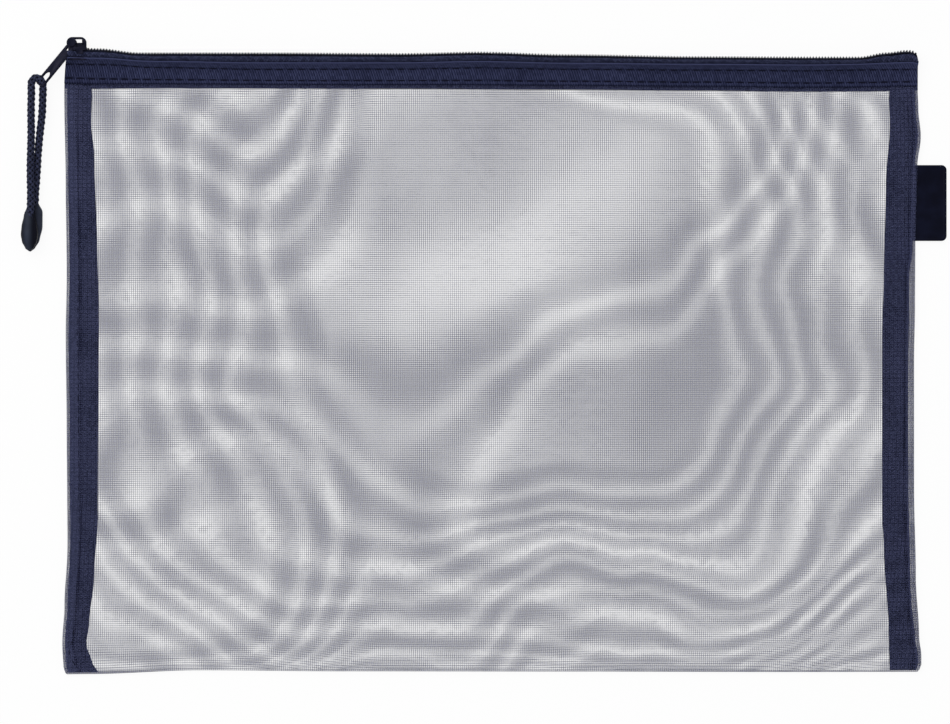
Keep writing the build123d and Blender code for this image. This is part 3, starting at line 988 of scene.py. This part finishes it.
def coilCore(xFrom, xTo, level):  # the filler cord that the loops are wound on
    core = added("coilCore", "cylinder", vertices=coil["coreSides"], radius=1, depth=2)
    quarterTurn("Y")
    mode("EDIT")
    cuts = coil["coreCuts"]
    for cut in sorted(range(cuts - 1, -cuts, -1), key=abs):  # from the middle out
        bpy.ops.mesh.select_all(action="SELECT")
        bpy.ops.mesh.bisect(plane_co=(cut / cuts, 0, 0), plane_no=(1, 0, 0))
    mode("OBJECT")
    high, wide = coil["core"]
    for vertex in core.data.vertices:
        x = xFrom + (xTo - xFrom) * (vertex.co.x + 1) / 2
        y = coilHeight(x) - coil["coreDrop"] + vertex.co.y * high
        vertex.co = Vector((x, y, level + vertex.co.z * wide)) * mm
    return core


plasticCoil = coilMaterial()
coilSpans = {-1: (coil["start"], coil["leftTo"]), 1: (0.0, coil["to"])}
for side, span in coilSpans.items():
    piece = coilRun("coilFront" + hands[side], *span, 1)
    frontBand.append((side, finishPiece(piece, plasticCoil, "coil", "front_coil")))
piece = coilRun("coilBack", coil["start"], coil["to"], -1)
finishPiece(piece, plasticCoil, "coil", "back_coil", rides="root")
print("coil halves made")


# stitches: one sunk thread run, copied along each row

stitch = dict(
    long=3.2, pitch=4.4, wide=0.62, high=0.4, segments=8, rings=6, stray=0.12, strayReach=9,
    spans={-1: (-170.2, 0.0), 1: (0.0, 169.4)}, backSpan=(-169.4, 169.4), twist=0.6, twistSlant=2.2,
    rough=(0.0, 1.0, 0.5, 0.7), gloss=0.06, relief=(0.06, 0.7),
    dark=(0.0012, 0.0015, 0.006), light=(0.006, 0.007, 0.022),
)


def threadMaterial():
    material, shader = newMaterial("sewingThread")
    (x, y, _), _ = axes(shader)
    twist = ripple(maths("MULTIPLY_ADD", y, stitch["twistSlant"], x), stitch["twist"])
    surfaced(shader, stitch, tinted(twist, stitch), twist, twist)
    return material


def stitchRun(name, count, first):  # along x, about the origin
    run = added(name, "uv_sphere", segments=stitch["segments"], ring_count=stitch["rings"], radius=0.5)
    quarterTurn("Y")
    size = [stitch[key] * mm for key in ("long", "wide", "high")]
    mode("EDIT")
    bpy.ops.transform.resize(value=size, center_override=(0, 0, 0))
    bpy.ops.transform.translate(value=(first * mm, 0, 0))
    mode("OBJECT")
    repeated(run, count, stitch["pitch"])
    bpy.ops.object.shade_smooth()
    return run


def surfaceLevel(path, y):  # z of a band's outer face at the height y
    (ya, za), (yb, zb) = next((a, b) for a, b in zip(path, path[1:]) if a[0] <= y <= b[0])
    return za + (zb - za) * (y - ya) / (yb - ya)


def bandRow(name, height, xFrom, xTo, outward):
    count = int((xTo - xFrom) / stitch["pitch"])
    row = stitchRun(name, count, xFrom + stitch["pitch"] / 2)
    level = surfaceLevel(bindPath(outward), height)
    for vertex in row.data.vertices:
        x, y, z = vertex.co / mm
        stray = stitch["stray"] * noise.noise(Vector((x / stitch["strayReach"], height, 2.0)))
        y += height
        vertex.co = Vector((x, y + bandShift(x, y) + stray, level + z)) * mm
    return outwards(row)


sewing = threadMaterial()
for place in ("upper", "lower"):
    height = band["sewn"][place]
    for side, span in stitch["spans"].items():
        row = bandRow("stitchesFront" + place.title() + hands[side], height, *span, 1)
        frontBand.append((side, finishPiece(row, sewing, "thread", "front_" + place + "_stitches")))
    row = bandRow("stitchesBack" + place.title(), height, *stitch["backSpan"], -1)
    finishPiece(row, sewing, "thread", "back_" + place + "_stitches", rides="root")
print("band stitches made")


# side seams: a woven strip folded round the turned-in hems, seen through the net

seam = dict(
    low=0.66, high=1.78, thick=0.38, bottom=-122.9, top=108.5, rows=76, steps=28,
    pinch=3.0, pinchLow=0.25, pinchHigh=0.3, lift=0.5, liftFrom=104.6, liftLong=3.2, turn=0.5,
    margin={-1: ((0, 1.2),), 1: ((-122, 1.2), (-110, 1.7), (-98, 2.3), (36, 2.4), (44, 1.2))},
    inner={
        -1: ((-122, 156.6), (-119, 159.4), (-112, 161.6), (-104, 160.4), (-85, 158.4), (-61, 156.9),
             (23, 156.5), (47, 157.2), (83, 158.4), (95, 159.6), (108, 159.2)),
        1: ((-122, 158.6), (-109, 158.4), (-73, 156.4), (-61, 155.7), (11, 155.7), (35, 156.4), (71, 157.2),
            (95, 158.8), (108, 158.4)),
    },
    stitch={-1: ((-124, 5.8), (-115.5, 2.8), (-109, 4.4), (-100, 4.8)), 1: ((0, 4.3),)},
    stitchFrom=3, stitchSpare=4,
)
seamLook = dict(
    pitch=(1.2, 1.1), slant=0.6, rib=0.3, chance=(0.5, 1.35), climb=(8.0, 1.0),
    wide=23.0, edge=0.4, edgeReach=2.6, foot=0.0, rows=(19.7,), rowShadeWidth=1.0, rowShade=0.05,
    dark=(0.0025, 0.0035, 0.014), light=(0.05, 0.057, 0.115),
)


def seamStrip(side):
    tall = seam["top"] - seam["bottom"]

    def section(y):
        reach = along(seam["inner"][side], y)
        edge = sideEdge(side, y) - along(seam["margin"][side], y)
        middle, turn = (edge + reach) / 2, reach + seam["turn"]
        tucked = eased((seam["bottom"] + seam["pinch"] - y) / seam["pinch"])
        lift = seam["lift"] * eased((y - seam["liftFrom"]) / seam["liftLong"])
        low = seam["low"] + lift + seam["pinchLow"] * tucked
        high = seam["high"] - seam["pinchHigh"] * tucked
        path = [(edge, low), (middle, low), (turn, low), (reach, low)]
        path += [(reach, high), (turn, high), (middle, high), (edge, high)]
        return evenPath(rounded(path, 2), seam["steps"])

    wide = pathLengths(section(0.0))[-1]

    def place(s, t):
        y = seam["bottom"] + tall * t
        x, z = pickPath(section(y), s)
        return side * x, y + bandShift(side * x, y), z

    def thread(s, t):
        return tall * t, wide * s

    strip = gridPiece("sideBinding" + hands[side], seam["steps"] - 1, seam["rows"], place, thread)
    return thickened(strip, side < 0, seam["thick"], 0.0)


def seamRow(side):
    tall = seam["top"] - seam["bottom"] - seam["stitchSpare"]
    first = seam["bottom"] + seam["stitchFrom"]
    row = stitchRun("seamStitches" + hands[side], int(tall / stitch["pitch"]), first)
    level = seam["high"] + seam["thick"] / 2
    for vertex in row.data.vertices:
        y, x, z = vertex.co / mm
        out = sideEdge(side, y) - along(seam["stitch"][side], y) - x
        vertex.co = Vector((side * out, y, level + z)) * mm
    return outwards(row)


seamCloth = weaveMaterial("seamBinding", seamLook)
for side, hand in hands.items():
    finishPiece(seamStrip(side), seamCloth, "binding", hand.lower() + "_side_binding", rides="root")
    finishPiece(seamRow(side), sewing, "thread", hand.lower() + "_seam_stitches", rides="root")
print("side seams made")


# side tab: soft smooth tab with a low rim, left plain

tab = dict(
    tuck=1.0, corner=2.0, rim=1.0, dip=0.14, dipWall=0.25, edge=0.22,
    cloud=6, cloudShare=(0.3, 0.75), skin=0.35,
    rough=(0.25, 0.75, 0.38, 0.55), gloss=0.05, relief=(0.03, 0.5),
    dark=(0.001, 0.0014, 0.007), light=(0.003, 0.004, 0.014),
)


def tabMaterial():
    material, shader = newMaterial("smoothTab")
    _, where = axes(shader)
    share = spread(grain(where, tab["cloud"], 3.0), *tab["cloudShare"])
    skin = grain(where, tab["skin"])
    surfaced(shader, tab, tinted(share, tab), skin, skin)
    return material


def makeTab():
    low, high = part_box("side_tab")
    low.x -= tab["tuck"] * mm
    piece = boxBetween("sideTab", low, high)
    cornersRounded(piece, high.x - 1e-5, tab["corner"])
    editOnly(piece, "polygons", "FACE", lambda face: abs(face.normal.z) > 0.9)
    bpy.ops.mesh.inset(thickness=tab["rim"] * mm, depth=0.0, use_individual=True)
    bpy.ops.mesh.inset(thickness=tab["dipWall"] * mm, depth=-tab["dip"] * mm, use_individual=True)
    mode("OBJECT")
    edgesEased(piece, tab["edge"], 3, 25)
    smoothed(40)
    finishPiece(piece, tabMaterial(), "tab", "side_tab", rides="root")


makeTab()
print("side tab made")


# slider: the solid body in navy paint rubbed on its edges, a thicker crown, and the pull that turns in it

paintLook = dict(
    cloud=3, cloudShare=(0.3, 0.7), speck=0.3, speckShare=(0.35, 0.65), edge=0.18,
    edgeTurn=(0.995, 0.9), rough=(0.2, 0.8, 0.3, 0.45), gloss=0.02, relief=(0.03, 0.4),
    dark=(0.004, 0.005, 0.014), light=(0.016, 0.016, 0.03), worn=(0.04, 0.04, 0.058),
)
crownWeb = dict(
    foot=((-165.9, 125.2, 3.45), (-161.6, 127.1, 4.75)), cheek=((-162.8, 125.2, 3.45), (-161.5, 128.7, 4.75)),
    nose=((-168.3, 123.9, 3.45), (-165.5, 125.6, 4.75)), edge=0.25,
)
pull = dict(
    pivot=(-166.7, 127.15, 4.1), direction=230.5, tilt=43.0, aside=0.6,
    long=21.5, wide=5.2, thick=0.95, corner=1.2, cornersPast=0.01, cutDepth=6,
    window=(0.5, 3.7, 1.3), slotAt=17.4, slotLong=5.2, slotWide=3.9, slotSides=40, edge=0.13,
    earRadius=1.75, earLevels=(2.45, 5.75), earThick=1.25, earSides=32, earEdge=0.35,
)


def paintMaterial():
    material, shader = newMaterial("navyPaint")
    _, where = axes(shader)
    cloud = grain(where, paintLook["cloud"], 3.0)
    speck = grain(where, paintLook["speck"])
    soft = beside(shader, "Bevel")
    feed(soft.inputs["Radius"], paintLook["edge"] * mm)
    turn = beside(shader, "VectorMath")
    turn.operation = "DOT_PRODUCT"
    feed(turn.inputs[0], soft.outputs[0])
    feed(turn.inputs[1], beside(shader, "NewGeometry").outputs["Normal"])
    edges = spread(turn.outputs["Value"], *paintLook["edgeTurn"])
    wearAndHighlight = times(edges, spread(speck, *paintLook["speckShare"]))
    share = spread(cloud, *paintLook["cloudShare"])
    color = mixColor(wearAndHighlight, tinted(share, paintLook), paintLook["worn"])
    surfaced(shader, paintLook, color, speck, speck, soft.outputs[0])
    return material


def makeCrownWeb():  # thick foot, right cheek and nose of the crown's arch
    blocks = []
    for part in ("foot", "cheek", "nose"):
        low, high = [Vector(corner) * mm for corner in crownWeb[part]]
        block = boxBetween("crownWeb", low, high)
        blocks.append(applied(block, "BEVEL", width=crownWeb["edge"] * mm, segments=3, limit_method="NONE"))
    web = joined("crownWeb", *blocks)
    smoothed(40)
    finishPiece(web, paint, "slider", rides="slider")


def cutAway(piece, cutter):
    applied(piece, "BOOLEAN", operation="DIFFERENCE", object=cutter, solver="EXACT")
    bpy.data.objects.remove(cutter)


def pullPlate():  # flat along x from the origin, with a window round the crown and a slot for the cord
    half, thin, deep = pull["wide"] / 2, pull["thick"] / 2, pull["cutDepth"] / 2
    near, far, side = pull["window"]
    plate = boxBetween("plate", Vector((0, -half, -thin)) * mm, Vector((pull["long"], half, thin)) * mm)
    cornersRounded(plate, pull["cornersPast"], pull["corner"])
    cutAway(plate, boxBetween("window", Vector((near, -side, -deep)) * mm, Vector((far, side, deep)) * mm))
    slot = added("slot", "cylinder", vertices=pull["slotSides"],
                 radius=pull["slotWide"] / 2 * mm, depth=pull["cutDepth"] * mm)
    straight = (pull["slotLong"] - pull["slotWide"]) / 2
    for vertex in slot.data.vertices:  # drawn out to a long slot
        vertex.co.x += (pull["slotAt"] + math.copysign(straight, vertex.co.x)) * mm
    cutAway(plate, slot)
    return edgesEased(plate, pull["edge"], 2, 40)


def makePull():
    turn, tilt = math.radians(pull["direction"]), math.radians(pull["tilt"])
    lengthwise = Vector((math.cos(turn), math.sin(turn), 0))
    across = Vector((-math.sin(turn), math.cos(turn), 0))
    facing = Vector((0, 0, math.sin(tilt))) - across * math.cos(tilt)
    width = facing.cross(lengthwise)
    pivot = Vector(pull["pivot"]) * mm
    plate = pullPlate()
    start = pivot + across * pull["aside"] * mm
    for vertex in plate.data.vertices:
        vertex.co = start + lengthwise * vertex.co.x + width * vertex.co.y + facing * vertex.co.z
    ears = []
    for level in pull["earLevels"]:  # two rounded ears on the pivot
        ear = added("ear", "cylinder", vertices=pull["earSides"],
                    radius=pull["earRadius"] * mm, depth=pull["earThick"] * mm)
        for vertex in ear.data.vertices:
            vertex.co += Vector((pivot.x, pivot.y, level * mm))
        ears.append(edgesEased(ear, pull["earEdge"], 3, 40))
    piece = joined("pullTab", plate, *ears)
    smoothed(40)
    finishPiece(piece, paint, "slider", "pull_tab", rides="pull")


paint = paintMaterial()
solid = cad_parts["slider_body"]
solid.data.materials.clear()
solid.data.materials.append(paint)
makeCrownWeb()
makePull()
print("slider and pull painted")


# the front parts with the zip, their placing baked into their points

for side, piece in [*frontBand, *frontHalves.items()]:
    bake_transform(piece)
